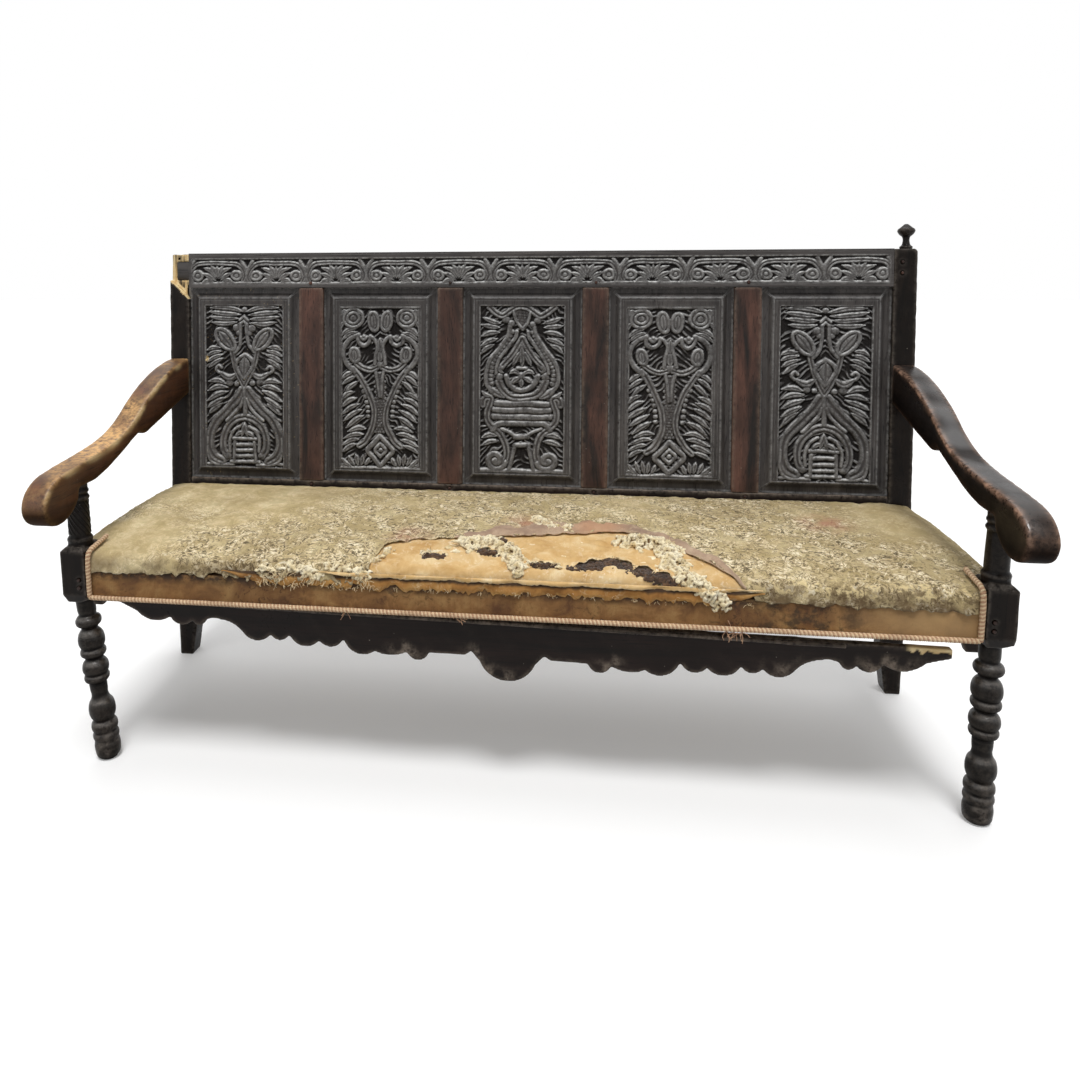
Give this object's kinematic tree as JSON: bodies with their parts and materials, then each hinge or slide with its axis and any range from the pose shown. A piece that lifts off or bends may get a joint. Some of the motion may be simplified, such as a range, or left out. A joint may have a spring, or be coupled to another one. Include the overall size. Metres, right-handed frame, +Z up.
{
  "type": "hall bench",
  "caption": "Carved oak hall settle with a leaning panelled back, scrolled arms on turned posts, a stuffed seat with a torn woven cover and a scalloped apron; seats people.",
  "frame": {"origin": "on the floor, at the middle of the part's bounding box", "axes": "+X to the viewer's right along the bench, +Y to the back, +Z up"},
  "size_m": [1.7352, 0.6672, 1.0661],
  "materials": {
    "oak": "aged dark oak, waxed, worn grey on the arrises",
    "oak_reddish": "aged reddish oak, waxed",
    "oak_worn": "aged brown oak, worn pale where hands rest",
    "oak_frame": "sawn oak, unfinished",
    "iron": "rusted",
    "webbing": "coarse jute webbing",
    "hessian": "coarse hessian",
    "stuffing": "loose cotton flock",
    "canvas": "plain golden canvas",
    "tapestry": "woven flowered tapestry, faded and worn",
    "border_cloth": "plain brown cloth, stained",
    "cord": "twisted two-colour cord, frayed"
  },
  "bodies": {
    "root": {"apron_nails": "iron", "apron_strip": "oak", "apron_stub": "oak", "arm_left": "oak_worn", "arm_pegs": "oak_worn", "arm_right": "oak", "back_bottom_rail": "oak", "back_pegs": "oak_worn", "back_post_left": "oak", "back_post_right": "oak", "border_cord": "cord", "border_front": "border_cloth", "border_left": "border_cloth", "border_right": "border_cloth", "finial_right": "oak", "front_apron": "oak", "front_post_left": "oak", "front_post_right": "oak", "muntin_1": "oak_reddish", "muntin_2": "oak_reddish", "muntin_3": "oak_reddish", "muntin_4": "oak_reddish", "panel_1": "oak", "panel_2": "oak", "panel_3": "oak", "panel_4": "oak", "panel_5": "oak", "seat_bearer": "oak_frame", "seat_canvas": "canvas", "seat_cover": "tapestry", "seat_hessian": "hessian", "seat_pegs": "oak_worn", "seat_rail_front": "oak_frame", "seat_rail_left": "oak_frame", "seat_rail_rear": "oak_frame", "seat_rail_right": "oak_frame", "seat_stuffing": "stuffing", "top_rail": "oak", "webbing_crosswise": "webbing", "webbing_lengthwise": "webbing"}
  },
  "joints": []
}
